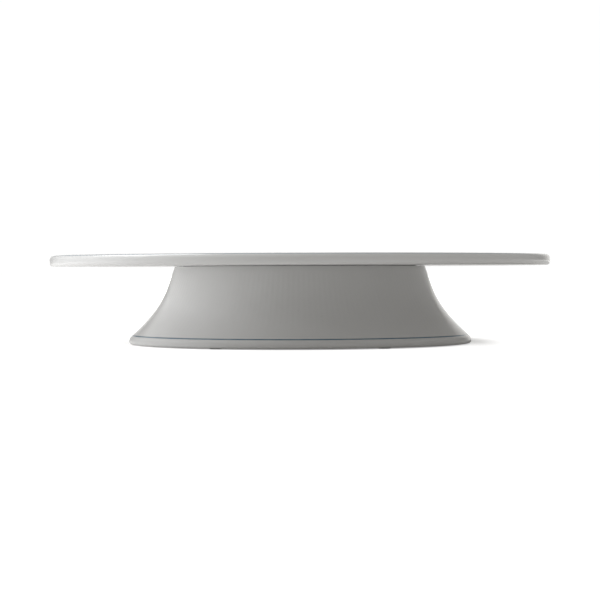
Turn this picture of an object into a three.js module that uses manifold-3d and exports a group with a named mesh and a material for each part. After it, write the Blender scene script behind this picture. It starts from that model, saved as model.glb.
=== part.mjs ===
// Lazy susan turntable: a porcelain plate turning on a flared porcelain pedestal.
// Units are millimetres, +Z is up, and the origin is the centre of the footprint, on the table.
//
// Three bodies share one vertical axis:
//   stand      pedestal, foot pads, lower race and the pivot stud that clamps them
//   cage       nylon cage with its ring of steel balls
//   turntable  upper race, carrier disc, bush and the plate

import * as THREE from 'three';
import { mergeVertices } from 'three/addons/utils/BufferGeometryUtils.js';
import Module from 'manifold-3d';

// ---------------------------------------------------------------- driving dimensions

const PLATE = {
  radius: 150,
  thickness: 6.5,
  topRound: 3,
  bottomRound: 2.25,
  footRing: { inner: 66, outer: 69.5, drop: 1.375, bevel: 0.5 },
};

const PEDESTAL = {
  lipHeight: 46.75,
  neckRadius: 75.375,
  neckLean: 19.5,        // degrees from vertical at the neck
  neckPull: 16.5,        // length of the curve's handle at the neck
  lineRadius: 100.7,
  lineHeight: 6.125,     // where the flare meets the foot band
  lineLean: 48,          // degrees from vertical at the foot band
  linePull: 26.1,
  footRadius: 103,
  footWidestHeight: 2,
  footCorner: 3.75,      // where the band's upright and its shoulder would meet
  footFaceInner: 89.5,
  footFaceOuter: 101.5,
  wall: 5,
  lipRound: 0.5,
  wellRadiusTop: 70.5,
  wellRadiusDeck: 73,
  deckTop: 33,
  deckThickness: 5,
  deckHoleRadius: 5.5,
};

const FOOT_PAD = { count: 6, radius: 3.5, pitchRadius: 95, proud: 0.5, recess: 1, gap: 0.3 };

const RACE = {
  radius: 60,
  sheet: 1.5,
  grooveDepth: 1,
  grooveFloor: 1.5,      // half widths of the groove, at its floor and at its mouth
  grooveMouth: 3.25,
  flank: 0.675,          // how much wider the groove stands proud on the other side
};
const GASKET = { inner: 12, outer: 44, thickness: 1.5 };

const BALL = { count: 16, radius: 3, pitchRadius: 50, play: 0.03125 };
const CAGE = { inner: 45.5, outer: 54.5, thickness: 2, pocketRadius: 3.25 };

const CARRIER = { radius: 64, thickness: 3, channelHalf: 5, channelDepth: 1.25, chamfer: 0.5 };
const BOND_PAD = { count: 6, radius: 9, pitchRadius: 34 };

const STUD = {
  threadRadius: 4,
  threadEnd: 15.5,
  flangeRadius: 9,
  flangeThickness: 1.25,
  journalRadius: 5,
  top: 46.5,
  clipGroove: { bottom: 45.25, height: 0.75, radius: 4.25 },
  chamfer: 0.5,
};
const BUSH = { radius: 7.75, flangeRadius: 10.5, flangeThickness: 1.5, running: 0.05, fitGap: 0.3 };
const WASHER = {
  fibre: { outer: 12, thickness: 1.5 },
  steel: { outer: 10, thickness: 1.5 },
  retaining: { inner: 5.25, outer: 9, thickness: 0.5 },
};
const NUT = { acrossFlats: 13, height: 6.5 };
const CLIP = { inner: 4.55, outer: 8, thickness: 0.625, mouth: 60 };
const RACE_SCREW = {
  count: 4,
  pitchRadius: 22,
  headRadius: 2.75,
  headHeight: 1.5,
  crown: 0.6,
  shankRadius: 1.5,
  length: 3.75,
  holeGap: 0.3,
};

const SEGMENTS = { porcelain: 64, disc: 40, hub: 32, washer: 20, pad: 12, screw: 10 };
const BALL_FACES = { around: 8, poleToPole: 6 };

// ---------------------------------------------------------------- heights of the stack

const DECK_BOTTOM = PEDESTAL.deckTop - PEDESTAL.deckThickness;
const LOWER_RACE_BOTTOM = PEDESTAL.deckTop + GASKET.thickness;
const LOWER_RACE_TOP = LOWER_RACE_BOTTOM + RACE.sheet;
const BALL_CENTRE = LOWER_RACE_TOP - RACE.grooveDepth + BALL.radius + BALL.play;
const UPPER_RACE_BOTTOM = 2 * BALL_CENTRE - LOWER_RACE_TOP;
const CARRIER_BOTTOM = UPPER_RACE_BOTTOM + RACE.sheet;
const CARRIER_TOP = CARRIER_BOTTOM + CARRIER.thickness;
const PLATE_BOTTOM = 47;

// ---------------------------------------------------------------- finishes

const finish = (color, roughness, metalness) => () =>
  new THREE.MeshStandardMaterial({ color, roughness, metalness });

const glazedPorcelain = finish(0xf2f1ee, 0.12, 0);
const clearSilicone = finish(0xdfe2e4, 0.5, 0);
const greySilicone = finish(0x6d7073, 0.7, 0);
const zincSteel = finish(0xb4b8bd, 0.32, 1);
const ballSteel = finish(0xd6d9dd, 0.08, 1);
const turnedAluminium = finish(0xc9cbce, 0.38, 1);
const naturalNylon = finish(0xe9e4d6, 0.45, 0);
const whiteAcetal = finish(0xf4f4f1, 0.35, 0);
const redFibre = finish(0x8a3a2c, 0.8, 0);

// ---------------------------------------------------------------- geometry helpers

const radians = THREE.MathUtils.degToRad;
const point = (r, z) => new THREE.Vector2(r, z);

/** Turn a profile of (radius, height) points, listed anticlockwise, about the vertical axis. */
function turned(profile, segments) {
  return new THREE.LatheGeometry(profile, segments).rotateX(Math.PI / 2);
}

/** Turn a ring whose profile closes on itself. */
function turnedRing(profile, segments) {
  return turned([...profile, profile[0]], segments);
}

/** A flat washer standing on its own bottom face. */
function washer(inner, outer, thickness, segments) {
  const profile = [point(inner, 0), point(outer, 0), point(outer, thickness), point(inner, thickness)];
  return turnedRing(profile, segments);
}

/** A solid disc standing on its own bottom face. */
function disc(radius, thickness, segments) {
  const profile = [point(0, 0), point(radius, 0), point(radius, thickness), point(0, thickness)];
  return turned(profile, segments);
}

/** Points of a quarter round from one profile point to another round a corner. */
function rounded(from, corner, to, steps) {
  return new THREE.QuadraticBezierCurve(from, corner, to).getPoints(steps);
}

/** The same geometry with shared vertices merged and empty triangles left out. */
function welded(geometry) {
  const bare = geometry.clone();
  bare.deleteAttribute('normal');
  bare.deleteAttribute('uv');
  const merged = mergeVertices(bare, 1e-4);
  const kept = [];
  for (let i = 0; i < merged.index.count; i += 3) {
    const [a, b, c] = [0, 1, 2].map((k) => merged.index.getX(i + k));
    if (a !== b && b !== c && c !== a) kept.push(a, b, c);
  }
  merged.setIndex(kept);
  return merged;
}

const wasm = await Module();
wasm.setup();

/** A manifold solid of a closed geometry. */
function solidOf(geometry) {
  const merged = welded(geometry);
  return new wasm.Manifold(new wasm.Mesh({
    numProp: 3,
    vertProperties: new Float32Array(merged.attributes.position.array),
    triVerts: new Uint32Array(merged.index.array),
  }));
}

/** The geometry that is left when the cutters are taken away from a body. */
function cutAway(body, cutters) {
  let solid = solidOf(body);
  for (const cutter of cutters) solid = solid.subtract(solidOf(cutter));
  const mesh = solid.getMesh();
  const geometry = new THREE.BufferGeometry();
  geometry.setAttribute('position', new THREE.BufferAttribute(new Float32Array(mesh.vertProperties), 3));
  geometry.setIndex(new THREE.BufferAttribute(new Uint32Array(mesh.triVerts), 1));
  geometry.computeVertexNormals();
  return geometry;
}

/** A named piece at a height on the axis. */
function piece(name, geometry, material, height = 0) {
  const mesh = new THREE.Mesh(geometry, material());
  mesh.name = name;
  mesh.position.z = height;
  return mesh;
}

/** Centres of equally spaced places on a circle, starting on +X. */
function ringOfPlaces(count, radius) {
  return Array.from({ length: count }, (_, i) => {
    const angle = (i * 2 * Math.PI) / count;
    return { x: radius * Math.cos(angle), y: radius * Math.sin(angle) };
  });
}

/** Copies of one piece, each its own mesh, on a circle of places. */
function repeated(prefix, digits, places, geometry, material, height) {
  return places.map(({ x, y }, i) => {
    const number = String(i + 1).padStart(digits, '0');
    const copy = piece(`${prefix}_${number}`, geometry.clone(), material, height);
    copy.position.x = x;
    copy.position.y = y;
    return copy;
  });
}

// ---------------------------------------------------------------- stand

/** The outside of the flare, from the foot band up to the neck. */
function flareCurve() {
  const p = PEDESTAL;
  const foot = point(p.lineRadius, p.lineHeight);
  const neck = point(p.neckRadius, p.lipHeight);
  const footLean = radians(p.lineLean);
  const neckLean = radians(p.neckLean);
  return new THREE.CubicBezierCurve(
    foot,
    point(foot.x - p.linePull * Math.sin(footLean), foot.y + p.linePull * Math.cos(footLean)),
    point(neck.x + p.neckPull * Math.sin(neckLean), neck.y - p.neckPull * Math.cos(neckLean)),
    neck,
  );
}

/** The inside of the wall: the flare moved inwards by the wall's thickness, from the deck down. */
function innerWall(curve, steps) {
  const offset = curve.getPoints(steps).map((p, i) => {
    const along = curve.getTangent(i / steps);
    return point(p.x - along.y * PEDESTAL.wall, p.y + along.x * PEDESTAL.wall);
  });
  const shoulder = DECK_BOTTOM - PEDESTAL.wall;
  return offset.filter((p) => p.y < shoulder && p.x < PEDESTAL.footFaceInner).reverse();
}

function pedestalGeometry() {
  const p = PEDESTAL;
  const flare = flareCurve();
  const bottom = FOOT_PAD.proud;
  const lipFoot = p.neckRadius + p.lipRound * Math.tan(radians(p.neckLean));
  const wall = innerWall(flare, 10);
  const deckRound = point(wall[0].x - p.wall, DECK_BOTTOM);
  const profile = [
    point(p.footFaceInner, bottom),
    ...rounded(point(p.footFaceOuter, bottom), point(p.footRadius, bottom),
      point(p.footRadius, p.footWidestHeight), 3),
    ...rounded(point(p.footRadius, p.footWidestHeight), point(p.footRadius, p.footCorner),
      point(p.lineRadius, p.lineHeight), 3).slice(1, -1),
    ...flare.getPoints(9).slice(0, -1),
    ...rounded(point(lipFoot, p.lipHeight - p.lipRound), point(p.neckRadius, p.lipHeight),
      point(p.neckRadius - p.lipRound, p.lipHeight), 2),
    point(p.wellRadiusTop, p.lipHeight),
    point(p.wellRadiusDeck, p.deckTop),
    point(p.deckHoleRadius, p.deckTop),
    point(p.deckHoleRadius, DECK_BOTTOM),
    deckRound,
    ...wall,
  ];
  const recesses = ringOfPlaces(FOOT_PAD.count, FOOT_PAD.pitchRadius).map(({ x, y }) =>
    disc(FOOT_PAD.radius + FOOT_PAD.gap, FOOT_PAD.recess + 1, SEGMENTS.pad).translate(x, y, bottom - 1));
  return cutAway(turnedRing(profile, SEGMENTS.porcelain), recesses);
}

function footPads() {
  const places = ringOfPlaces(FOOT_PAD.count, FOOT_PAD.pitchRadius);
  const thickness = FOOT_PAD.proud + FOOT_PAD.recess;
  return repeated('foot_pad', 1, places, disc(FOOT_PAD.radius, thickness, SEGMENTS.pad), clearSilicone, 0);
}

/**
 * A pressed race plate with its ball groove sunk into the top face and standing proud below.
 * The upper race is the same pressing turned over.
 */
function racePressing(boreRadius) {
  const { radius, sheet, grooveDepth, grooveFloor, grooveMouth, flank } = RACE;
  const middle = BALL.pitchRadius;
  const groove = (outward, floor, mouth, level) => [
    point(middle + outward * mouth, level),
    point(middle + outward * floor, level - grooveDepth),
  ];
  return [
    point(boreRadius, 0),
    ...groove(-1, grooveFloor + flank, grooveMouth + flank, 0),
    ...groove(1, grooveFloor + flank, grooveMouth + flank, 0).reverse(),
    point(radius, 0),
    point(radius, sheet),
    ...groove(1, grooveFloor, grooveMouth, sheet),
    ...groove(-1, grooveFloor, grooveMouth, sheet).reverse(),
    point(boreRadius, sheet),
  ];
}

/** The stud: thread, clamping flange, journal and a groove for the clip, from the bottom up. */
function studGeometry() {
  const s = STUD;
  const groove = s.clipGroove;
  const grooveTop = groove.bottom + groove.height;
  const profile = [
    point(0, s.threadEnd),
    point(s.threadRadius - s.chamfer, s.threadEnd),
    point(s.threadRadius, s.threadEnd + s.chamfer),
    point(s.threadRadius, LOWER_RACE_TOP),
    point(s.flangeRadius, LOWER_RACE_TOP),
    point(s.flangeRadius, LOWER_RACE_TOP + s.flangeThickness),
    point(s.journalRadius, LOWER_RACE_TOP + s.flangeThickness),
    point(s.journalRadius, groove.bottom),
    point(groove.radius, groove.bottom),
    point(groove.radius, grooveTop),
    point(s.journalRadius, grooveTop),
    point(s.journalRadius - s.chamfer, s.top),
    point(0, s.top),
  ];
  return turned(profile, SEGMENTS.hub);
}

/** A hexagonal nut: a six-sided prism with a round bore. */
function nutGeometry() {
  const corner = NUT.acrossFlats / Math.sqrt(3);
  const outline = new THREE.Shape(ringOfPlaces(6, corner).map(({ x, y }) => point(x, y)));
  const bore = new THREE.Path();
  bore.absarc(0, 0, STUD.threadRadius + BUSH.fitGap, 0, 2 * Math.PI, true);
  outline.holes.push(bore);
  const across = { depth: NUT.height, bevelEnabled: false, curveSegments: SEGMENTS.washer };
  return new THREE.ExtrudeGeometry(outline, across);
}

/** An open retaining ring: two arcs joined across the mouth. */
function clipGeometry() {
  const half = radians(CLIP.mouth / 2);
  const outline = new THREE.Shape();
  outline.absarc(0, 0, CLIP.outer, half, 2 * Math.PI - half, false);
  outline.absarc(0, 0, CLIP.inner, 2 * Math.PI - half, half, true);
  outline.closePath();
  const across = { depth: CLIP.thickness, bevelEnabled: false, curveSegments: SEGMENTS.washer };
  return new THREE.ExtrudeGeometry(outline, across);
}

function stand() {
  const group = new THREE.Group();
  const bore = STUD.threadRadius + BUSH.fitGap;
  const fibreBottom = DECK_BOTTOM - WASHER.fibre.thickness;
  const steelBottom = fibreBottom - WASHER.steel.thickness;
  const clipGap = (STUD.clipGroove.height - CLIP.thickness) / 2;
  const lowerRace = turnedRing(racePressing(bore), SEGMENTS.disc);
  const fibreWasher = washer(bore, WASHER.fibre.outer, WASHER.fibre.thickness, SEGMENTS.washer);
  const steelWasher = washer(bore, WASHER.steel.outer, WASHER.steel.thickness, SEGMENTS.washer);
  const gasket = washer(GASKET.inner, GASKET.outer, GASKET.thickness, SEGMENTS.disc);
  group.add(
    piece('pedestal', pedestalGeometry(), glazedPorcelain),
    ...footPads(),
    piece('race_gasket', gasket, greySilicone, PEDESTAL.deckTop),
    piece('lower_race', lowerRace, zincSteel, LOWER_RACE_BOTTOM),
    piece('pivot_stud', studGeometry(), zincSteel),
    piece('fibre_washer', fibreWasher, redFibre, fibreBottom),
    piece('steel_washer', steelWasher, zincSteel, steelBottom),
    piece('lock_nut', nutGeometry(), zincSteel, steelBottom - NUT.height),
    piece('retaining_clip', clipGeometry(), zincSteel, STUD.clipGroove.bottom + clipGap),
  );
  return group;
}

// ---------------------------------------------------------------- cage

/** The cage: a flat ring with one round pocket for each ball. */
function cageGeometry() {
  const ring = washer(CAGE.inner, CAGE.outer, CAGE.thickness, SEGMENTS.disc);
  const pockets = ringOfPlaces(BALL.count, BALL.pitchRadius).map(({ x, y }) =>
    disc(CAGE.pocketRadius, CAGE.thickness + 2, SEGMENTS.screw).translate(x, y, -1));
  return cutAway(ring, pockets);
}

function cage() {
  const group = new THREE.Group();
  const places = ringOfPlaces(BALL.count, BALL.pitchRadius);
  const ball = new THREE.SphereGeometry(BALL.radius, BALL_FACES.around, BALL_FACES.poleToPole)
    .rotateX(Math.PI / 2);
  group.add(
    piece('ball_cage', cageGeometry(), naturalNylon, BALL_CENTRE - CAGE.thickness / 2),
    ...repeated('ball', 2, places, ball, ballSteel, BALL_CENTRE),
  );
  return group;
}

// ---------------------------------------------------------------- turntable

/** Straight holes for the race screws, as cutters. */
function screwHoles(height) {
  const radius = RACE_SCREW.shankRadius + RACE_SCREW.holeGap;
  return ringOfPlaces(RACE_SCREW.count, RACE_SCREW.pitchRadius).map(({ x, y }) =>
    disc(radius, height + 2, SEGMENTS.screw).translate(x, y, -1));
}

/** The upper race: the race pressing turned over, with holes for its screws. */
function upperRaceGeometry() {
  const upsideDown = racePressing(BUSH.radius + BUSH.fitGap)
    .map((p) => point(p.x, RACE.sheet - p.y))
    .reverse();
  return cutAway(turnedRing(upsideDown, SEGMENTS.disc), screwHoles(RACE.sheet));
}

/** The carrier disc, with a channel underneath that clears the race's raised groove. */
function carrierGeometry() {
  const { radius, thickness, channelHalf, channelDepth, chamfer } = CARRIER;
  const bore = BUSH.radius + BUSH.fitGap;
  const profile = [
    point(bore, 0),
    point(BALL.pitchRadius - channelHalf, 0),
    point(BALL.pitchRadius - channelHalf, channelDepth),
    point(BALL.pitchRadius + channelHalf, channelDepth),
    point(BALL.pitchRadius + channelHalf, 0),
    point(radius - chamfer, 0),
    point(radius, chamfer),
    point(radius, thickness - chamfer),
    point(radius - chamfer, thickness),
    point(bore, thickness),
  ];
  return cutAway(turnedRing(profile, SEGMENTS.disc), screwHoles(thickness));
}

/** The flanged bush. Its bore clears the stud's corners by the running clearance. */
function bushGeometry() {
  const bore = (STUD.journalRadius + BUSH.running) / Math.cos(Math.PI / SEGMENTS.hub);
  const height = BUSH.flangeThickness + RACE.sheet + CARRIER.thickness;
  const profile = [
    point(bore, 0),
    point(BUSH.flangeRadius, 0),
    point(BUSH.flangeRadius, BUSH.flangeThickness),
    point(BUSH.radius, BUSH.flangeThickness),
    point(BUSH.radius, height),
    point(bore, height),
  ];
  return turnedRing(profile, SEGMENTS.hub);
}

/** A pan-head screw that points up, standing on its head. */
function screwGeometry() {
  const { headRadius, headHeight, crown, shankRadius, length } = RACE_SCREW;
  const profile = [
    point(0, 0),
    point(headRadius - crown, 0),
    point(headRadius, crown),
    point(headRadius, headHeight),
    point(shankRadius, headHeight),
    point(shankRadius, headHeight + length),
    point(0, headHeight + length),
  ];
  return turned(profile, SEGMENTS.screw);
}

/** The plate: a flat disc with a rounded rim and a low foot ring inside the pedestal's lip. */
function plateGeometry() {
  const { radius, thickness, topRound, bottomRound, footRing } = PLATE;
  const profile = [
    point(0, 0),
    point(footRing.inner, 0),
    point(footRing.inner + footRing.bevel, -footRing.drop),
    point(footRing.outer - footRing.bevel, -footRing.drop),
    point(footRing.outer, 0),
    ...rounded(point(radius - bottomRound, 0), point(radius, 0), point(radius, bottomRound), 3),
    ...rounded(point(radius, thickness - topRound), point(radius, thickness),
      point(radius - topRound, thickness), 3),
    point(0, thickness),
  ];
  return turned(profile, SEGMENTS.porcelain);
}

function turntable() {
  const group = new THREE.Group();
  const screwPlaces = ringOfPlaces(RACE_SCREW.count, RACE_SCREW.pitchRadius);
  const padPlaces = ringOfPlaces(BOND_PAD.count, BOND_PAD.pitchRadius);
  const bond = disc(BOND_PAD.radius, PLATE_BOTTOM - CARRIER_TOP, SEGMENTS.pad);
  const { inner, outer, thickness } = WASHER.retaining;
  group.add(
    piece('upper_race', upperRaceGeometry(), zincSteel, UPPER_RACE_BOTTOM),
    piece('carrier_disc', carrierGeometry(), turnedAluminium, CARRIER_BOTTOM),
    piece('pivot_bush', bushGeometry(), whiteAcetal, UPPER_RACE_BOTTOM - BUSH.flangeThickness),
    piece('retaining_washer', washer(inner, outer, thickness, SEGMENTS.washer), whiteAcetal, CARRIER_TOP),
    ...repeated('race_screw', 1, screwPlaces, screwGeometry(), zincSteel,
      UPPER_RACE_BOTTOM - RACE_SCREW.headHeight),
    ...repeated('bonding_pad', 1, padPlaces, bond, clearSilicone, CARRIER_TOP),
    piece('turntable_plate', plateGeometry(), glazedPorcelain, PLATE_BOTTOM),
  );
  return group;
}

const lazySusan = new THREE.Group();
lazySusan.add(stand(), cage(), turntable());

export default lazySusan;
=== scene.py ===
"""Lazy susan turntable: the fine surfaces and finishes of a porcelain plate on a flared pedestal.

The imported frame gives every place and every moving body. This script makes the surfaces that are seen,
from the glazed plate down to the washers and the nut under the deck, and dresses each with its finish.
"""

import logging
import math
from collections.abc import Callable, Sequence
from dataclasses import dataclass, field
from enum import Enum
from typing import ClassVar

import bpy
import numpy as np
from mathutils import Matrix, Vector


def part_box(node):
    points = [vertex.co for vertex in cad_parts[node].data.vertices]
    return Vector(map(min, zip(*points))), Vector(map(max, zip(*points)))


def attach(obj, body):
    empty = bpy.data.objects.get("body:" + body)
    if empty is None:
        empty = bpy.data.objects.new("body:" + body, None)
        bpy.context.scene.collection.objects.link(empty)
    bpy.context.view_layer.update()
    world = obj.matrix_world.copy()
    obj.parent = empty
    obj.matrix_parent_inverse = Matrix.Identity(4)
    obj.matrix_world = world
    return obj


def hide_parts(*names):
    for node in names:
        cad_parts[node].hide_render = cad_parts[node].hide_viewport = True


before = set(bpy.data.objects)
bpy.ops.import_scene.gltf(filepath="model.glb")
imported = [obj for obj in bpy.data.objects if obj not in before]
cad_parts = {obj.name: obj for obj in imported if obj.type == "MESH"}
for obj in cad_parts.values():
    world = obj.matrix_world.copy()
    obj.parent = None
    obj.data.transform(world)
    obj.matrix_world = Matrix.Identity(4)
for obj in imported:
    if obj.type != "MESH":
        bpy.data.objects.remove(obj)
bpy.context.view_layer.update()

LOG = logging.getLogger("lazy_susan")
MM = 0.001
SHARP = 38.0  # degrees between two faces from which their edge is shaded sharp
BEYOND = 1.0  # millimetres by which a cutter stands out of what it cuts
Material = bpy.types.Material
Mesh = bpy.types.Mesh
Object = bpy.types.Object
Points = np.ndarray
Pair = tuple[float, float]
Triple = tuple[float, float, float]
Colour = tuple[float, float, float, float]
RadialChange = Callable[[Points, Points, Points], Points]


class Body(Enum):
    """The bodies that pieces ride on."""

    STAND = "stand"
    CAGE = "cage"
    TURNTABLE = "turntable"


class Slot(Enum):
    """The record's material slots."""

    PORCELAIN = "glazed_porcelain"
    CLEAR_SILICONE = "clear_silicone"
    GREY_SILICONE = "grey_silicone"
    ZINC = "zinc_plated_steel"
    BALL_STEEL = "bearing_steel"
    NYLON = "natural_nylon"
    ALUMINIUM = "turned_aluminium"
    ACETAL = "white_acetal"
    FIBRE = "red_fibre"


# ---- shader maths


class Value:
    """A shader socket that carries one number, with arithmetic that adds Math nodes."""

    def __init__(self, shader: "Shader", socket: bpy.types.NodeSocket) -> None:
        """Wrap one output socket.

        Args:
            shader: The node tree that the socket belongs to.
            socket: The output socket.
        """
        self.shader = shader
        self.socket = socket

    def maths(self, operation: str, *others: "Value | float", swap: bool = False) -> "Value":
        """Add one Math node.

        Args:
            operation: The node's operation.
            others: The second and third operands.
            swap: Whether this value is the second operand.

        Returns:
            The node's result.
        """
        operands = [self, *others]
        if swap:
            operands.reverse()
        return self.shader.node("ShaderNodeMath", {"operation": operation}, dict(enumerate(operands)))

    def __add__(self, other: "Value | float") -> "Value":
        """Sum."""
        return self.maths("ADD", other)

    __radd__ = __add__

    def __sub__(self, other: "Value | float") -> "Value":
        """Difference."""
        return self.maths("SUBTRACT", other)

    def __rsub__(self, other: "Value | float") -> "Value":
        """Difference from a number."""
        return self.maths("SUBTRACT", other, swap=True)

    def __mul__(self, other: "Value | float") -> "Value":
        """Product."""
        return self.maths("MULTIPLY", other)

    __rmul__ = __mul__

    def __truediv__(self, other: "Value | float") -> "Value":
        """Quotient."""
        return self.maths("DIVIDE", other)

    def size(self) -> "Value":
        """Absolute value."""
        return self.maths("ABSOLUTE")

    def step(self, low: float, high: float) -> "Value":
        """Smooth step between two inputs, which falls where the first is above the second.

        Args:
            low: The input that gives 0.
            high: The input that gives 1.

        Returns:
            A number from 0 to 1.
        """
        settings = {"interpolation_type": "SMOOTHSTEP"}
        if low < high:
            return self.shader.node("ShaderNodeMapRange", settings, {0: self, 1: low, 2: high})
        rise = self.shader.node("ShaderNodeMapRange", settings, {0: self, 1: high, 2: low})
        return 1.0 - rise


class Shader:
    """The node tree of a material or a world, with one method that adds any node."""

    def __init__(self, owner: Material | bpy.types.World) -> None:
        """Give the owner an empty tree.

        Args:
            owner: The material or world.
        """
        owner.use_nodes = True
        self.owner = owner
        self.tree = owner.node_tree
        self.tree.nodes.clear()

    def node(self, kind: str, settings: dict | None = None, sockets: dict | None = None,
             output: int | str = 0) -> Value:
        """Add one node.

        Args:
            kind: The node's type.
            settings: Attributes that are set first, such as a Math node's operation.
            sockets: Values or links for input sockets, by index or name.
            output: The output to give back.

        Returns:
            The chosen output, or an empty value for a node that has none.
        """
        made = self.tree.nodes.new(kind)
        for key, value in (settings or {}).items():
            setattr(made, key, value)
        for key, value in (sockets or {}).items():
            if isinstance(value, Value):
                self.tree.links.new(value.socket, made.inputs[key])
            else:
                made.inputs[key].default_value = value
        return Value(self, made.outputs[output]) if made.outputs else Value(self, None)

    def place(self) -> Value:
        """Object coordinates, in metres."""
        return self.node("ShaderNodeTexCoord", output="Object")

    def parts_of(self, place: Value) -> tuple[Value, Value, Value]:
        """Take a place apart.

        Args:
            place: The place.

        Returns:
            Its x, y and z.
        """
        split = self.node("ShaderNodeSeparateXYZ", sockets={0: place})
        outputs = split.socket.node.outputs
        return tuple(Value(self, outputs[i]) for i in range(3))

    def radius(self, place: Value) -> Value:
        """Distance from the turning axis: the root of x squared plus y squared."""
        x, y, _ = self.parts_of(place)
        return (x * x + y * y).maths("SQRT")

    def noise(self, place: Value, scale: float, detail: float = 2.0, roughness: float = 0.5) -> Value:
        """Fractal noise.

        Args:
            place: Where it is sampled.
            scale: How many grains there are to the metre.
            detail: How many finer layers are laid over it.
            roughness: How strong each finer layer is.

        Returns:
            A number from 0 to 1.
        """
        sockets = {"Vector": place, "Scale": scale, "Detail": detail, "Roughness": roughness}
        return self.node("ShaderNodeTexNoise", sockets=sockets)

    def stretched(self, place: Value, scale: tuple[float, float, float]) -> Value:
        """A place scaled along each axis."""
        return self.node("ShaderNodeMapping", sockets={"Vector": place, "Scale": scale})

    def blend(self, share: "Value | float", first: "Value | tuple", second: "Value | tuple") -> Value:
        """Mix two colours by a share of the second."""
        sockets = {0: share, 6: first, 7: second}
        return self.node("ShaderNodeMix", {"data_type": "RGBA"}, sockets, output=2)

    def bump(self, height: Value, depth: float, strength: float = 1.0,
             normal: Value | None = None) -> Value:
        """A bumped normal.

        Args:
            height: The relief, from 0 to 1.
            depth: What a height of 1 stands for, in metres.
            strength: How much of the relief is used.
            normal: The normal that it is added to, where another bump comes first.

        Returns:
            The normal.
        """
        sockets = {"Height": height, "Distance": depth, "Strength": strength}
        if normal is not None:
            sockets["Normal"] = normal
        return self.node("ShaderNodeBump", sockets=sockets)

    def surface(self, sockets: dict) -> Material:
        """Close the tree with a Principled shader.

        Args:
            sockets: Values or links for the shader's inputs.

        Returns:
            The finished material.
        """
        shader = self.node("ShaderNodeBsdfPrincipled", sockets=sockets)
        self.node("ShaderNodeOutputMaterial", sockets={"Surface": shader})
        return self.owner


def rgb(red: float, green: float, blue: float) -> Colour:
    """A colour socket's value."""
    return (red, green, blue, 1.0)


# ---- finishes


@dataclass(frozen=True)
class GlazedPorcelain:
    """White high-gloss glaze with a hand-banded cobalt line and bare biscuit where it is not glazed."""

    line_place: float
    line_width: float
    bare_below: float
    bare_from: float = 0.0
    line_from: float = 0.0
    line_on_radius: bool = False
    rim_line_over: Pair = (3.5 * MM, 4.5 * MM)
    line_waver: float = 0.25
    speck_edge: Pair = (0.030, 0.012)
    name: str = "glazed_porcelain"
    glaze: Colour = rgb(0.80, 0.798, 0.792)
    pooled: Colour = rgb(0.765, 0.766, 0.765)
    cobalt: Colour = rgb(0.075, 0.160, 0.235)
    biscuit: Colour = rgb(0.74, 0.71, 0.66)

    def build(self) -> Material:
        """Make the material.

        Returns:
            The material.
        """
        s = Shader(bpy.data.materials.new(self.name))
        place = s.place()
        height = s.parts_of(place)[2]
        radius = s.radius(place)

        pooling = s.noise(place, 14.0, 3.0)
        cloud = s.noise(place, 90.0, 2.0)
        body = s.blend(pooling * 0.10 + cloud * 0.04, self.glaze, self.pooled)
        speck_field = s.node("ShaderNodeTexVoronoi", {"feature": "F1"},
                             {"Vector": place, "Scale": 95.0, "Randomness": 1.0})
        speck = speck_field.step(*self.speck_edge)
        body = s.blend(speck * 0.35, body, rgb(0.46, 0.43, 0.39))

        across = radius if self.line_on_radius else height
        waver = (s.noise(place, 11.0, 2.0) - 0.5) * (self.line_waver * self.line_width)
        half = (s.noise(place, 37.0, 1.0) * 0.30 + 0.85) * (0.5 * self.line_width)
        distance = (across - self.line_place + waver).size()
        inside = (distance / half).step(1.18, 0.72) * radius.step(self.line_from, self.line_from + 0.5 * MM)
        if self.line_on_radius:
            fade_low, fade_high = self.rim_line_over
            inside = inside * height.step(self.bare_below + fade_low, self.bare_below + fade_high)
        density = s.noise(place, 160.0, 4.0) * 0.30 + 0.72
        coloured = s.blend(inside * density, body, self.cobalt)

        bare = height.step(self.bare_below + 0.10 * MM, self.bare_below + 0.02 * MM)
        bare = bare * radius.step(self.bare_from, self.bare_from + 0.3 * MM)
        grit = s.noise(place, 1900.0, 3.0)
        colour = s.blend(bare, coloured, s.blend(grit * 0.35, self.biscuit, rgb(0.60, 0.56, 0.50)))

        smear = s.noise(place, 28.0, 4.0)
        roughness = (smear * 0.05 + 0.085) * (1.0 - bare) + bare * 0.82
        orange_peel = s.noise(place, 260.0, 2.0)
        settled = s.bump(orange_peel, 0.012 * MM, 0.35)
        rough_ground = s.bump(grit * bare, 0.10 * MM, 1.0, settled)
        return s.surface({"Base Color": colour, "Roughness": roughness, "IOR": 1.52,
                          "Normal": rough_ground})


@dataclass(frozen=True)
class Silicone:
    """Soft moulded silicone with a dusty skin."""

    name: str
    tone: Colour
    dust: Colour
    subsurface: float = 0.0

    def build(self) -> Material:
        """Make the material.

        Returns:
            The material.
        """
        s = Shader(bpy.data.materials.new(self.name))
        place = s.place()
        skin = s.noise(place, 900.0, 3.0)
        dusting = s.noise(place, 120.0, 4.0)
        colour = s.blend(dusting * 0.35, self.tone, self.dust)
        roughness = dusting * 0.15 + 0.42
        return s.surface({"Base Color": colour, "Roughness": roughness, "IOR": 1.41,
                          "Subsurface Weight": self.subsurface, "Subsurface Radius": (0.004, 0.004, 0.004),
                          "Normal": s.bump(skin, 0.01 * MM, 0.6)})


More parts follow.
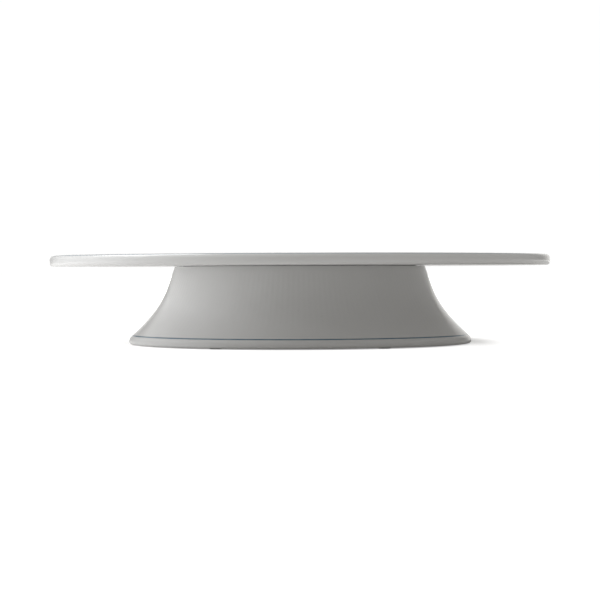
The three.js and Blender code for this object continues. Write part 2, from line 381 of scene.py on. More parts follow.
@dataclass(frozen=True)
class ZincPlate:
    """Bright zinc plate over pressed steel, with fine drawing lines round the axis."""

    name: str = "zinc_plated_steel"
    bright: Colour = rgb(0.66, 0.68, 0.71)
    dull: Colour = rgb(0.50, 0.52, 0.55)
    straw: Colour = rgb(0.66, 0.63, 0.55)

    def build(self) -> Material:
        """Make the material.

        Returns:
            The material.
        """
        s = Shader(bpy.data.materials.new(self.name))
        place = s.place()
        spangle = s.noise(place, 340.0, 3.0)
        passivation = s.noise(place, 40.0, 3.0).step(0.45, 0.75)
        colour = s.blend(spangle, self.bright, self.dull)
        colour = s.blend(passivation * 0.5, colour, self.straw)
        rings = (s.radius(place) * 9000.0 + s.noise(place, 60.0) * 3.0).maths("SINE")
        roughness = spangle * 0.16 + 0.24
        fine = s.bump(rings * 0.5 + 0.5, 0.004 * MM, 0.5)
        return s.surface({"Base Color": colour, "Metallic": 1.0, "Roughness": roughness,
                          "Normal": s.bump(spangle, 0.01 * MM, 0.4, fine)})


@dataclass(frozen=True)
class BallSteel:
    """Ground and polished hardened steel."""

    name: str = "bearing_steel"

    def build(self) -> Material:
        """Make the material.

        Returns:
            The material.
        """
        s = Shader(bpy.data.materials.new(self.name))
        place = s.place()
        haze = s.noise(place, 700.0, 2.0)
        colour = s.blend(haze * 0.3, rgb(0.80, 0.81, 0.83), rgb(0.70, 0.72, 0.76))
        scratches = s.noise(s.stretched(place, (1.0, 9.0, 1.0)), 1500.0, 2.0)
        return s.surface({"Base Color": colour, "Metallic": 1.0, "Roughness": haze * 0.06 + 0.04,
                          "Normal": s.bump(scratches, 0.002 * MM, 0.3)})


@dataclass(frozen=True)
class MouldedPlastic:
    """A moulded or turned engineering plastic."""

    name: str
    tone: Colour
    shade: Colour
    gloss: float
    rings: float = 0.0

    def build(self) -> Material:
        """Make the material.

        Returns:
            The material.
        """
        s = Shader(bpy.data.materials.new(self.name))
        place = s.place()
        flow = s.noise(s.stretched(place, (1.0, 1.0, 3.0)), 70.0, 3.0)
        grain = s.noise(place, 1400.0, 2.0)
        colour = s.blend(flow * 0.5, self.tone, self.shade)
        turned = (s.radius(place) * self.rings).maths("SINE") * 0.5 + 0.5
        surface = s.bump(grain, 0.006 * MM, 0.6)
        return s.surface({"Base Color": colour, "Roughness": grain * 0.12 + self.gloss, "IOR": 1.48,
                          "Normal": s.bump(turned, 0.006 * MM, 0.5, surface)})


@dataclass(frozen=True)
class TurnedAluminium:
    """Lathe-turned aluminium with concentric tool marks."""

    name: str = "turned_aluminium"

    def build(self) -> Material:
        """Make the material.

        Returns:
            The material.
        """
        s = Shader(bpy.data.materials.new(self.name))
        place = s.place()
        chatter = s.noise(place, 45.0, 3.0)
        marks = (s.radius(place) * 14000.0 + chatter * 2.0).maths("SINE") * 0.5 + 0.5
        colour = s.blend(chatter * 0.6, rgb(0.80, 0.81, 0.82), rgb(0.68, 0.69, 0.71))
        return s.surface({"Base Color": colour, "Metallic": 1.0, "Roughness": chatter * 0.12 + 0.28,
                          "Normal": s.bump(marks, 0.010 * MM, 0.8)})


@dataclass(frozen=True)
class VulcanisedFibre:
    """Red vulcanised fibre sheet, punched."""

    name: str = "red_fibre"

    def build(self) -> Material:
        """Make the material.

        Returns:
            The material.
        """
        s = Shader(bpy.data.materials.new(self.name))
        place = s.place()
        strands = s.noise(s.stretched(place, (1.0, 6.0, 2.0)), 420.0, 5.0, 0.7)
        colour = s.blend(strands, rgb(0.34, 0.075, 0.045), rgb(0.20, 0.045, 0.03))
        return s.surface({"Base Color": colour, "Roughness": strands * 0.2 + 0.66,
                          "Normal": s.bump(strands, 0.03 * MM, 0.8)})


# ---- outlines


def bezier(points: Sequence[Sequence[float]], steps: int) -> Points:
    """A cubic curve: its four points weighted by the cubic Bernstein terms of t.

    Args:
        points: Where it starts, the handle at the start, the handle at the end and where it ends.
        steps: How many stretches it is cut into.

    Returns:
        The points along it, one row each.
    """
    t = np.linspace(0.0, 1.0, steps + 1)[:, None]
    u = 1.0 - t
    p = np.array(points, float)
    return u**3 * p[0] + 3 * u**2 * t * p[1] + 3 * u * t**2 * p[2] + t**3 * p[3]


def quadratic(points: Sequence[Sequence[float]], steps: int) -> Points:
    """A quadratic curve: the cubic whose handles lie two thirds of the way to the middle point.

    Args:
        points: Where it starts, its control point and where it ends.
        steps: How many stretches it is cut into.

    Returns:
        The points along it, one row each.
    """
    a, b, c = np.array(points, float)
    return bezier((a, a + (b - a) * 2 / 3, c + (b - c) * 2 / 3, c), steps)


def softened(corners: Sequence[tuple[float, ...]], closed: bool = True, steps: int = 4) -> Points:
    """An outline with each corner rounded by an arc.

    At a corner with half angle h between its sides, an arc of radius r starts r / tan(h) from the corner,
    and its centre lies r / sin(h) away along the bisector.

    Args:
        corners: Radius, height and rounding radius of each corner; the rounding may be left out.
        closed: Whether the outline closes on itself. If not, its two ends stay sharp.
        steps: Stretches in each arc.

    Returns:
        The outline's points, one row each.
    """
    rows = []
    count = len(corners)
    for i, corner in enumerate(corners):
        here = np.array(corner[:2], float)
        rounding = corner[2] if len(corner) > 2 else 0.0
        if rounding <= 0 or (not closed and i in (0, count - 1)):
            rows.append(here[None])
            continue
        back = np.array(corners[i - 1][:2], float) - here
        ahead = np.array(corners[(i + 1) % count][:2], float) - here
        back /= np.linalg.norm(back)
        ahead /= np.linalg.norm(ahead)
        half = 0.5 * math.acos(float(np.clip(back @ ahead, -1.0, 1.0)))
        bisector = (back + ahead) / np.linalg.norm(back + ahead)
        centre = here + bisector * rounding / math.sin(half)
        start = here + back * rounding / math.tan(half) - centre
        end = here + ahead * rounding / math.tan(half) - centre
        angles = np.unwrap([math.atan2(start[1], start[0]), math.atan2(end[1], end[0])])
        sweep = np.linspace(angles[0], angles[1], steps + 1)
        rows.append(centre + rounding * np.stack([np.cos(sweep), np.sin(sweep)], 1))
    return np.concatenate(rows)


def ring_section(inner: float, outer: float, low: float, high: float, edge: float) -> Points:
    """The section of a flat ring with broken edges.

    Args:
        inner: The bore's radius.
        outer: The ring's radius.
        low: The height of its bottom.
        high: The height of its top.
        edge: How far its edges are rounded.

    Returns:
        The outline's points.
    """
    return softened([(inner, low, edge), (outer, low, edge), (outer, high, edge), (inner, high, edge)])


# ---- surfaces


def linked(name: str, contents: bpy.types.ID) -> Object:
    """Put a mesh, a light or a camera into the scene.

    Args:
        name: The new object's name.
        contents: What the object holds.

    Returns:
        The new object, at the origin.
    """
    made = bpy.data.objects.new(name, contents)
    bpy.context.scene.collection.objects.link(made)
    return made


def mesh_of(name: str, vertices: Points, corners: Points, sizes: Points) -> Mesh:
    """Fill a mesh from arrays.

    Args:
        name: The mesh's name.
        vertices: One row for each vertex, in metres.
        corners: The vertex number at each corner of each face, face after face.
        sizes: How many corners each face has.

    Returns:
        The mesh.
    """
    starts = np.concatenate([[0], np.cumsum(sizes)[:-1]])
    mesh = bpy.data.meshes.new(name)
    mesh.vertices.add(len(vertices))
    mesh.vertices.foreach_set("co", vertices.astype(np.float32).ravel())
    mesh.loops.add(len(corners))
    mesh.loops.foreach_set("vertex_index", corners.astype(np.int32))
    mesh.polygons.add(len(sizes))
    mesh.polygons.foreach_set("loop_start", starts.astype(np.int32))
    mesh.update(calc_edges=True)
    mesh.validate()
    return mesh


def shade(mesh: Mesh, sharp_angle: float) -> None:
    """Shade a mesh smooth, apart from its sharp edges.

    Args:
        mesh: The mesh.
        sharp_angle: Edges that turn more than this, in degrees, are sharp.
    """
    mesh.polygons.foreach_set("use_smooth", np.ones(len(mesh.polygons), bool))
    mesh.set_sharp_from_angle(angle=math.radians(sharp_angle))
    mesh.update()


def grid_object(name: str, grid: Points, closed: bool, sharp_angle: float = SHARP) -> Object:
    """A closed surface through a grid of rings, each of which closes on itself.

    At a pole, a ring that is all one point, the doubled corner of each face is dropped. The surface faces
    out where its volume is above 0, and that has the sign of the faces' triple products.

    Args:
        name: The piece's name.
        grid: Rings by places by three, in metres.
        closed: Whether the last ring joins the first. If not, both are poles.
        sharp_angle: Edges that turn more than this, in degrees, are shaded sharp.

    Returns:
        The new object.
    """
    rings, around = grid.shape[:2]
    here = np.arange(rings * around).reshape(rings, around)
    if not closed:
        here[0] = here[0, 0]
        here[-1] = here[-1, 0]
    there = np.roll(here, -1, axis=1)
    faces = np.stack([here, there, np.roll(there, -1, axis=0), np.roll(here, -1, axis=0)], -1)
    used, quads = np.unique(faces if closed else faces[:-1], return_inverse=True)
    vertices = grid.reshape(-1, 3)[used]
    quads = quads.reshape(-1, 4)
    a, b, c, d = (vertices[quads[:, i]] for i in range(4))
    volume = (np.einsum("ij,ij->i", a, np.cross(b, c)) + np.einsum("ij,ij->i", a, np.cross(c, d))).sum()
    if volume <= 0:
        quads = quads[:, ::-1]
    doubled = quads == np.roll(quads, -1, axis=1)
    pinched = doubled.any(axis=1)
    plain = quads[~pinched]
    triangles = quads[pinched][~doubled[pinched]].reshape(-1, 3)
    corners = np.concatenate([plain.ravel(), triangles.ravel()])
    mesh = mesh_of(name, vertices, corners, np.repeat([4, 3], [len(plain), len(triangles)]))
    shade(mesh, sharp_angle)
    return linked(name, mesh)


def turned_object(name: str, outline: Points, around: int, height: float = 0.0, centre: Pair = (0.0, 0.0),
                  change: RadialChange | None = None, sharp_angle: float = SHARP) -> Object:
    """Turn an outline about the vertical axis: x = r cos(angle), y = r sin(angle), z = height.

    Args:
        name: The piece's name.
        outline: Radius and height of each point in millimetres. It starts and ends on the axis, or is
            closed by its first point.
        around: How many places there are round the axis.
        height: What is added to every height, in millimetres.
        centre: The axis's place, in millimetres.
        change: What gives the radius at an angle, radius and height, for surfaces that aren't quite round.
        sharp_angle: Edges that turn more than this, in degrees, are shaded sharp.

    Returns:
        The new object.
    """
    on_axis = outline[0, 0] == 0.0 and outline[-1, 0] == 0.0
    angle = (np.arange(around) * (2 * math.pi / around))[None, :]
    radius = outline[:, 0][:, None] + np.zeros_like(angle)
    level = outline[:, 1][:, None] + np.zeros_like(angle)
    if change is not None:
        radius = change(angle, radius, level)
    grid = np.stack([radius * np.cos(angle) + centre[0], radius * np.sin(angle) + centre[1],
                     level + height], -1)
    return grid_object(name, grid * MM, not on_axis, sharp_angle)


def read(items: bpy.types.bpy_prop_collection, key: str, kind: type, width: int = 1) -> Points:
    """Read one property of every vertex, corner or face.

    Args:
        items: The mesh's vertices, corners or faces.
        key: The property's name.
        kind: The type of its numbers.
        width: How many numbers each one has.

    Returns:
        The numbers in one row.
    """
    numbers = np.empty(len(items) * width, kind)
    items.foreach_get(key, numbers)
    return numbers


def joined_mesh(name: str, meshes: Sequence[Mesh]) -> Mesh:
    """Join several meshes into one.

    Args:
        name: The new mesh's name.
        meshes: What is joined.

    Returns:
        The new mesh.
    """
    before = np.cumsum([0] + [len(mesh.vertices) for mesh in meshes])
    vertices = np.concatenate([read(mesh.vertices, "co", np.float32, 3) for mesh in meshes])
    corners = [read(mesh.loops, "vertex_index", np.int32) + first for mesh, first in zip(meshes, before)]
    sizes = [read(mesh.polygons, "loop_total", np.int32) for mesh in meshes]
    return mesh_of(name, vertices.reshape(-1, 3), np.concatenate(corners), np.concatenate(sizes))


def drilled(body: Object, cutters: Sequence[Object]) -> Object:
    """Cut separate closed shapes out of a piece and apply the cut.

    Args:
        body: The piece.
        cutters: What is taken away. They are removed afterwards.

    Returns:
        The piece.
    """
    name = body.name + "_cutter"
    cutter = linked(name, joined_mesh(name, [one.data for one in cutters]))
    modifier = body.modifiers.new("holes", "BOOLEAN")
    modifier.operation = "DIFFERENCE"
    modifier.solver = "EXACT"
    modifier.object = cutter
    graph = bpy.context.evaluated_depsgraph_get()
    mesh = bpy.data.meshes.new_from_object(body.evaluated_get(graph))
    body.modifiers.clear()
    body.data = mesh
    for used in (cutter, *cutters):
        bpy.data.objects.remove(used)
    shade(mesh, SHARP)
    return body


def plug(radius: float, low: float, high: float, centre: Pair, around: int = 48) -> Object:
    """A plain closed cylinder for cutting a hole, in millimetres."""
    outline = np.array([(0, low), (radius, low), (radius, high), (0, high)], float)
    return turned_object("plug", outline, around, centre=centre)


def hexagon(angle: Points, flat: float) -> Points:
    """The radius of a hexagon with corners on X: the flat's distance over the cosine from its middle."""
    step = math.pi / 3
    return flat / np.cos(np.mod(angle, step) - step / 2)


# ---- the frame


def nodes_named(prefix: str) -> list[str]:
    """The frame's nodes whose names are a prefix and a number, in order."""
    return sorted(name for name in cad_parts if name.removeprefix(prefix).isdigit())


def middle_of(node: str) -> Pair:
    """The x and y of a node's middle, in millimetres."""
    low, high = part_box(node)
    return ((low.x + high.x) / 2 / MM, (low.y + high.y) / 2 / MM)


def bottom_of(node: str) -> float:
    """The height of a node's lowest point, in millimetres."""
    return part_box(node)[0].z / MM


def top_of(node: str) -> float:
    """The height of a node's highest point, in millimetres."""
    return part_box(node)[1].z / MM


def radius_of(node: str) -> float:
    """Half of a node's width along X, in millimetres."""
    low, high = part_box(node)
    return (high.x - low.x) / 2 / MM


def extent_of(node: str) -> Triple:
    """A node's lowest height, highest height and radius, in millimetres."""
    return bottom_of(node), top_of(node), radius_of(node)


@dataclass(frozen=True)
class Coat:
    """A finish ready to be put on: its material, and the record's slot that it stands for."""

    material: Material
    slot: Slot


@dataclass(frozen=True)
class Finishes:
    """Every finish of the object."""

    pedestal: Coat
    plate: Coat
    clear_silicone: Coat
    grey_silicone: Coat
    zinc: Coat
    ball_steel: Coat
    nylon: Coat
    acetal: Coat
    aluminium: Coat
    fibre: Coat

    @classmethod
    def made(cls) -> "Finishes":
        """Make every material once.

        Returns:
            The finishes.
        """
        pedestal = GlazedPorcelain(
            line_place=5.7 * MM, line_width=0.70 * MM, bare_below=bottom_of("pedestal") * MM,
            bare_from=80 * MM, line_from=97 * MM, name="pedestal_glaze")
        # The plate's glaze is a darker copy of the pedestal's: painted shade that dims the plate's rim and
        # underside.
        plate = GlazedPorcelain(
            line_place=radius_of("turntable_plate") * MM - 1.1 * MM, line_width=0.35 * MM,
            bare_below=bottom_of("turntable_plate") * MM, line_on_radius=True, name="plate_glaze_painted_shade",
            glaze=rgb(0.71, 0.708, 0.704), pooled=rgb(0.68, 0.681, 0.68))
        clear = Silicone("clear_silicone", rgb(0.74, 0.76, 0.78), rgb(0.62, 0.62, 0.60), subsurface=0.4)
        grey = Silicone("grey_silicone", rgb(0.19, 0.20, 0.21), rgb(0.27, 0.27, 0.26))
        nylon = MouldedPlastic("natural_nylon", rgb(0.80, 0.76, 0.66), rgb(0.72, 0.67, 0.56), 0.42)
        acetal = MouldedPlastic("white_acetal", rgb(0.88, 0.88, 0.86), rgb(0.82, 0.82, 0.80), 0.28,
                                rings=16000.0)
        return cls(
            pedestal=Coat(pedestal.build(), Slot.PORCELAIN),
            plate=Coat(plate.build(), Slot.PORCELAIN),
            clear_silicone=Coat(clear.build(), Slot.CLEAR_SILICONE),
            grey_silicone=Coat(grey.build(), Slot.GREY_SILICONE),
            zinc=Coat(ZincPlate().build(), Slot.ZINC),
            ball_steel=Coat(BallSteel().build(), Slot.BALL_STEEL),
            nylon=Coat(nylon.build(), Slot.NYLON),
            acetal=Coat(acetal.build(), Slot.ACETAL),
            aluminium=Coat(TurnedAluminium().build(), Slot.ALUMINIUM),
            fibre=Coat(VulcanisedFibre().build(), Slot.FIBRE),
        )


@dataclass
class SubAssembly:
    """Pieces that are built and dressed together, and that move with one body."""

    finishes: Finishes
    body: ClassVar[Body] = Body.STAND

    def fit(self, piece: Object, node: str, coat: Coat) -> None:
        """Give a piece its finish, its body and the frame's node that it stands for.

        Args:
            piece: The finished mesh.
            node: The frame's node.
            coat: Its finish.
        """
        body, slot = self.body, coat.slot
        piece.name = node + "_fine"
        piece.data.name = piece.name
        piece.data.materials.clear()
        piece.data.materials.append(coat.material)
        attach(piece, body.value)
        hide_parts(node)
        LOG.info("%s: %d faces, on %s", piece.name, len(piece.data.polygons), body.value)

    def washer(self, node: str, coat: Coat, inner: float, edge: float) -> None:
        """Make one flat washer with broken edges.

        Args:
            node: The washer's node.
            coat: Its finish.
            inner: Its bore's radius, in millimetres.
            edge: How far its edges are rounded, in millimetres.
        """
        section = ring_section(inner, radius_of(node), bottom_of(node), top_of(node), edge)
        self.fit(turned_object(node, section, 96), node, coat)


# ---- the stand


@dataclass
class Pedestal(SubAssembly):
    """The flared porcelain pedestal and the pads let into its foot. Sizes are in millimetres."""

    neck_radius: float = 75.375
    neck_lean: float = 19.5
    neck_pull: float = 16.5
    line_radius: float = 100.7
    line_height: float = 6.125
    line_lean: float = 48.0
    line_pull: float = 26.1
    foot_widest_height: float = 2.0
    foot_corner: float = 3.95
    foot_face: Pair = (89.5, 101.5)
    band_share: float = 0.45
    heel_round: float = 0.8
    lip_round: float = 0.35
    lip_rows: int = 6
    wall: float = 5.0
    well_radius: Pair = (70.5, 73.0)
    well_round: float = 1.6
    deck: Pair = (28.0, 33.0)
    deck_hole: float = 5.5
    hole_round: float = 0.4
    shoulder_reach: float = 4.2
    shoulder_round: float = 3.0
    flutes: int = 170
    flute_depth: float = 0.055
    flute_start: Pair = (1.0, 4.0)
    flute_end: Pair = (0.8, 3.0)
    places_per_flute: int = 4
    pad_recess: float = 1.0
    pad_gap: float = 0.3

    def flare(self, steps: int) -> Points:
        """The outside of the wall from the foot's band up to the neck, one cubic curve.

        Args:
            steps: How many stretches it is cut into.

        Returns:
            The points.
        """
        lean_low, lean_high = math.radians(self.line_lean), math.radians(self.neck_lean)
        foot = (self.line_radius, self.line_height)
        neck = (self.neck_radius, top_of("pedestal"))
        low = (foot[0] - self.line_pull * math.sin(lean_low), foot[1] + self.line_pull * math.cos(lean_low))
        high = (neck[0] + self.neck_pull * math.sin(lean_high),
                neck[1] - self.neck_pull * math.cos(lean_high))
        return bezier((foot, low, high, neck), steps)

    def inner_wall(self, steps: int) -> Points:
        """The flare moved inwards by the wall along its own normal, from under the deck down.

        Args:
            steps: How many stretches the flare is cut into.

        Returns:
            The points.
        """
        outside = self.flare(steps)
        along = np.gradient(outside, axis=0)
        along /= np.linalg.norm(along, axis=1)[:, None]
        inside = outside + self.wall * np.stack([-along[:, 1], along[:, 0]], 1)
        under_deck = inside[:, 1] < self.deck[0] - self.wall
        above_foot = inside[:, 0] < self.foot_face[0] - 1.0
        return inside[under_deck & above_foot][::-1]

    def foot_band(self) -> Points:
        """The outside of the foot, from its flat face round the widest place up to the flare.

        Returns:
            The points.
        """
        widest = radius_of("pedestal")
        face = bottom_of("pedestal")
        turn = (widest, self.foot_widest_height)
        corner = np.array((widest, self.foot_corner))
        line = np.array((self.line_radius, self.line_height))
        below = quadratic(((self.foot_face[1], face), (widest, face), turn), 9)
        above = quadratic((turn, corner, corner + self.band_share * (line - corner)), 9)
        return np.concatenate([below, above[1:]])

    def outline(self) -> Points:
        """The whole section, anticlockwise from the outer edge of the foot's flat face.

        Returns:
            The points.
        """
        face, lip = bottom_of("pedestal"), top_of("pedestal")
        flare = self.flare(52)
        inner = self.inner_wall(60)
        deck_low, deck_high = self.deck
        well_high, well_low = self.well_radius
        upper = softened([
            flare[-self.lip_rows], (self.neck_radius, lip, self.lip_round), (well_high, lip, self.lip_round),
            (well_low, deck_high, self.well_round), (self.deck_hole, deck_high, self.hole_round),
            (self.deck_hole, deck_low, self.hole_round),
            (inner[0, 0] - self.shoulder_reach, deck_low, self.shoulder_round), tuple(inner[0])],
            closed=False, steps=5)
        heel = softened([tuple(inner[-1]), (self.foot_face[0], face, self.heel_round),
                         (self.foot_face[1], face)], closed=False)
        return np.concatenate([self.foot_band(), flare[:-self.lip_rows], upper, inner[1:], heel[1:-1]])

    def fluted(self, angle: Points, radius: Points, level: Points) -> Points:
        """The radius with shallow upright flutes: a cosine round the wall that fades at both ends.

        Args:
            angle: Angles round the axis.
            radius: Radii before fluting.
            level: Heights.

        Returns:
            The radii after fluting.
        """
        lip = top_of("pedestal")
        outside = radius > np.interp(level, *self.flare(40).T[::-1]) - 0.5
        fade_in = np.clip((level - self.line_height - self.flute_start[0]) / self.flute_start[1], 0.0, 1.0)
        fade_out = np.clip((lip - self.flute_end[0] - level) / self.flute_end[1], 0.0, 1.0)
        depth = self.flute_depth * fade_in * fade_out * outside
        return radius - depth * (0.5 - 0.5 * np.cos(self.flutes * angle))

    def build(self) -> None:
        """Make the pedestal, with its recesses, and its foot pads."""
        around = self.flutes * self.places_per_flute
        body = turned_object("pedestal", self.outline(), around, change=self.fluted)
        pads = nodes_named("foot_pad_")
        face = bottom_of("pedestal")
        recesses = [plug(radius_of(pad) + self.pad_gap, face - BEYOND, face + self.pad_recess,
                         middle_of(pad)) for pad in pads]
        self.fit(drilled(body, recesses), "pedestal", self.finishes.pedestal)
        for pad in pads:
            self.build_pad(pad)

    def build_pad(self, node: str) -> None:
        """Make one foot pad: a disc with rounded edges and a shallow dished sole.

        Args:
            node: The pad's node.
        """
        radius, top, dish = radius_of(node), top_of(node), 0.12
        outline = softened([(0.0, dish), (radius * 0.55, dish, 0.5), (radius * 0.66, 0.0, 0.4),
                            (radius, 0.0, 0.35), (radius, top, 0.2), (0.0, top)], closed=False)
        pad = turned_object(node, outline, 64, centre=middle_of(node))
        self.fit(pad, node, self.finishes.clear_silicone)


@dataclass
class PivotClamp(SubAssembly):
    """The stud through the deck with its washers, nut and clip. Sizes are in millimetres."""

    thread_radius: float = 4.0
    thread_pitch: float = 1.25
    thread_depth: float = 0.5
    thread_clearance: float = 0.3
    thread_start: float = 0.7
    thread_tip: float = 0.9
    thread_fade: float = 1.5
    rows_per_turn: int = 10
    flange: Pair = (9.0, 1.25)
    journal_radius: float = 5.0
    clip_groove: Triple = (45.25, 0.75, 4.25)
    across_flats: float = 13.0
    nut_chamfer: float = 0.75
    bore_chamfer: float = 0.5
    clip_radii: Pair = (4.55, 8.0)
    clip_edge: float = 0.12
    clip_mouth: float = 60.0

    def stud_outline(self) -> Points:
        """Thread, flange, journal and clip groove, from the bottom up.

        Returns:
            The points.
        """
        low, high = bottom_of("pivot_stud"), top_of("pivot_stud")
        flange_low = top_of("lower_race")
        flange_radius, flange_high = self.flange[0], flange_low + self.flange[1]
        groove, width, groove_radius = self.clip_groove
        turns = (flange_low - low) / self.thread_pitch
        rows = np.linspace(low + self.thread_start, flange_low, int(turns * self.rows_per_turn))
        thread = np.stack([np.full_like(rows, self.thread_radius), rows], 1)
        upper = softened([
            (self.thread_radius, flange_low), (flange_radius, flange_low, 0.2),
            (flange_radius, flange_high, 0.35), (self.journal_radius, flange_high, 0.3),
            (self.journal_radius, groove), (groove_radius, groove, 0.1),
            (groove_radius, groove + width, 0.1), (self.journal_radius, groove + width),
            (self.journal_radius, high, 0.4), (0.0, high)], closed=False)
        tip = np.array([(0.0, low), (self.thread_radius - self.thread_tip, low)])
        return np.concatenate([tip, thread, upper[1:]])

    def threaded(self, angle: Points, radius: Points, level: Points) -> Points:
        """The radius with a thread: a triangle wave of height over pitch less the turn's share.

        Args:
            angle: Angles round the axis.
            radius: Radii before threading.
            level: Heights.

        Returns:
            The radii after threading.
        """
        phase = np.mod(level / self.thread_pitch - angle / (2 * math.pi), 1.0)
        groove = 1.0 - np.abs(2.0 * phase - 1.0)
        low, end = bottom_of("pivot_stud"), bottom_of("race_gasket")
        start = np.clip((level - low - 0.3) / self.thread_fade, 0.0, 1.0)
        runout = np.clip((end - level) / self.thread_fade, 0.0, 1.0)
        on_thread = np.abs(radius - self.thread_radius) < 1e-6
        tip = np.minimum(radius, self.thread_radius - self.thread_tip + (level - low) * 1.2)
        cut = radius - self.thread_depth * groove * start * runout
        return np.where(on_thread, np.minimum(cut, tip), radius)

    def nut_radius(self, angle: Points, radius: Points, level: Points) -> Points:
        """The nut's outside: the lesser of the hexagon and a 30 degree cone at each end.

        Args:
            angle: Angles round the axis.
            radius: Radii; those past the bore are the outside.
            level: Heights above the nut's bottom.

        Returns:
            The radii.
        """
        height = top_of("lock_nut") - bottom_of("lock_nut")
        end_distance = np.minimum(level, height - level)
        cone = self.across_flats * 0.485 + end_distance * math.sqrt(3)
        outside = np.minimum(hexagon(angle, self.across_flats / 2), cone)
        return np.where(radius > self.across_flats / 2, outside, radius)

    def build_nut(self) -> None:
        """Make the lock nut with chamfered corners and a countersunk bore."""
        low = bottom_of("lock_nut")
        height = top_of("lock_nut") - low
        corner = self.across_flats / math.sqrt(3)
        bore = self.thread_radius + self.thread_clearance
        mouth = bore + self.bore_chamfer
        edge = np.linspace(0.0, self.nut_chamfer, 10)
        side = np.concatenate([edge, np.linspace(1.0, height - 1.0, 6), height - edge[::-1]])
        outside = np.stack([np.full_like(side, corner), side], 1)
        inside = np.array([(mouth, height), (bore, height - self.bore_chamfer), (bore, self.bore_chamfer),
                           (mouth, 0.0)])
        nut = turned_object("lock_nut", np.concatenate([outside, inside]), 180, height=low,
                            change=self.nut_radius, sharp_angle=22.0)
        self.fit(nut, "lock_nut", self.finishes.zinc)

    def build_clip(self) -> None:
        """Make the open retaining ring: a rounded section carried along an arc, its ends closed."""
        low, high = bottom_of("retaining_clip"), top_of("retaining_clip")
        section = ring_section(*self.clip_radii, low, high, self.clip_edge)
        half = math.radians(self.clip_mouth / 2)
        angles = np.linspace(half, 2 * math.pi - half, 72)[:, None]
        radius, level = section[:, 0][None, :], section[:, 1][None, :]
        grid = np.stack([radius * np.cos(angles), radius * np.sin(angles), level + 0 * angles], -1)
        ends = [np.broadcast_to(grid[i].mean(0), grid[i].shape)[None] for i in (0, -1)]
        clip = grid_object("retaining_clip", np.concatenate([ends[0], grid, ends[1]]) * MM, False)
        self.fit(clip, "retaining_clip", self.finishes.zinc)

    def build(self) -> None:
        """Make the stud, washers, nut and clip."""
        stud = turned_object("pivot_stud", self.stud_outline(), 96, change=self.threaded)
        self.fit(stud, "pivot_stud", self.finishes.zinc)
        bore = self.thread_radius + self.thread_clearance
        self.washer("fibre_washer", self.finishes.fibre, bore, 0.08)
        self.washer("steel_washer", self.finishes.zinc, bore, 0.2)
        self.build_nut()
        self.build_clip()


@dataclass
class RacePressing:
    """A pressed steel race with a ball groove. Sizes are in millimetres."""

    pitch_radius: float = 50.0
    sheet: float = 1.5
    groove_depth: float = 1.0
    groove_floor: float = 1.5
    groove_mouth: float = 3.25
    edge: float = 0.25
    tight_bend: float = 0.7
    floor_bend: float = 0.8
    wide_bend: float = 1.2

    def outline(self, bore: float, radius: float) -> Points:
        """The section of a race with its groove in the top face, standing on the groove's underside.

        Args:
            bore: The hole's radius.
            radius: The race's radius.

        Returns:
            The section's points.
        """
        middle, floor, mouth, edge = self.pitch_radius, self.groove_floor, self.groove_mouth, self.edge
        floor_below = floor + self.sheet * 0.45
        mouth_below = mouth + self.sheet * 0.45
        low, high = self.groove_depth, self.groove_depth + self.sheet
        sunk = high - self.groove_depth
        below = [(bore, low, edge), (middle - mouth_below, low, self.wide_bend),
                 (middle - floor_below, 0.0, self.floor_bend), (middle + floor_below, 0.0, self.floor_bend),
                 (middle + mouth_below, low, self.wide_bend), (radius, low, edge)]
        above = [(radius, high, edge), (middle + mouth, high, self.tight_bend),
                 (middle + floor, sunk, self.tight_bend), (middle - floor, sunk, self.tight_bend),
                 (middle - mouth, high, self.tight_bend), (bore, high, edge)]
        return softened(below + above)


@dataclass
class LowerBearing(SubAssembly):
    """The lower race on its gasket. Sizes are in millimetres."""

    pressing: RacePressing = field(default_factory=RacePressing)
    bore: float = 4.3
    gasket_bore: float = 12.0

    def build(self) -> None:
        """Make the race and the gasket."""
        outline = self.pressing.outline(self.bore, radius_of("lower_race"))
        race = turned_object("lower_race", outline, 160, height=bottom_of("lower_race"))
        self.fit(race, "lower_race", self.finishes.zinc)
        self.washer("race_gasket", self.finishes.grey_silicone, self.gasket_bore, 0.15)


# ---- the cage


@dataclass
class BallCage(SubAssembly):
    """The nylon cage and its balls. Sizes are in millimetres."""

    body: ClassVar[Body] = Body.CAGE
    inner: float = 45.5
    pocket_radius: float = 3.25
    edge: float = 0.3

    def build(self) -> None:
        """Make the cage and every ball."""
        balls = nodes_named("ball_")
        low, high, outer = extent_of("ball_cage")
        ring = turned_object("ball_cage", ring_section(self.inner, outer, low, high, self.edge), 192)
        cut = (low - BEYOND, high + BEYOND)
        pockets = [plug(self.pocket_radius, *cut, middle_of(ball), 40) for ball in balls]
        self.fit(drilled(ring, pockets), "ball_cage", self.finishes.nylon)
        for ball in balls:
            self.build_ball(ball)

    def build_ball(self, node: str) -> None:
        """Make one ball: a half circle turned about its own upright axis.

        Args:
            node: The ball's node.
        """
        radius = radius_of(node)
        middle = (bottom_of(node) + top_of(node)) / 2
        sweep = np.linspace(-math.pi / 2, math.pi / 2, 25)
        outline = np.stack([radius * np.cos(sweep), radius * np.sin(sweep)], 1)
        outline[[0, -1], 0] = 0.0
        ball = turned_object(node, outline, 40, height=middle, centre=middle_of(node))
        self.fit(ball, node, self.finishes.ball_steel)


# ---- the turntable


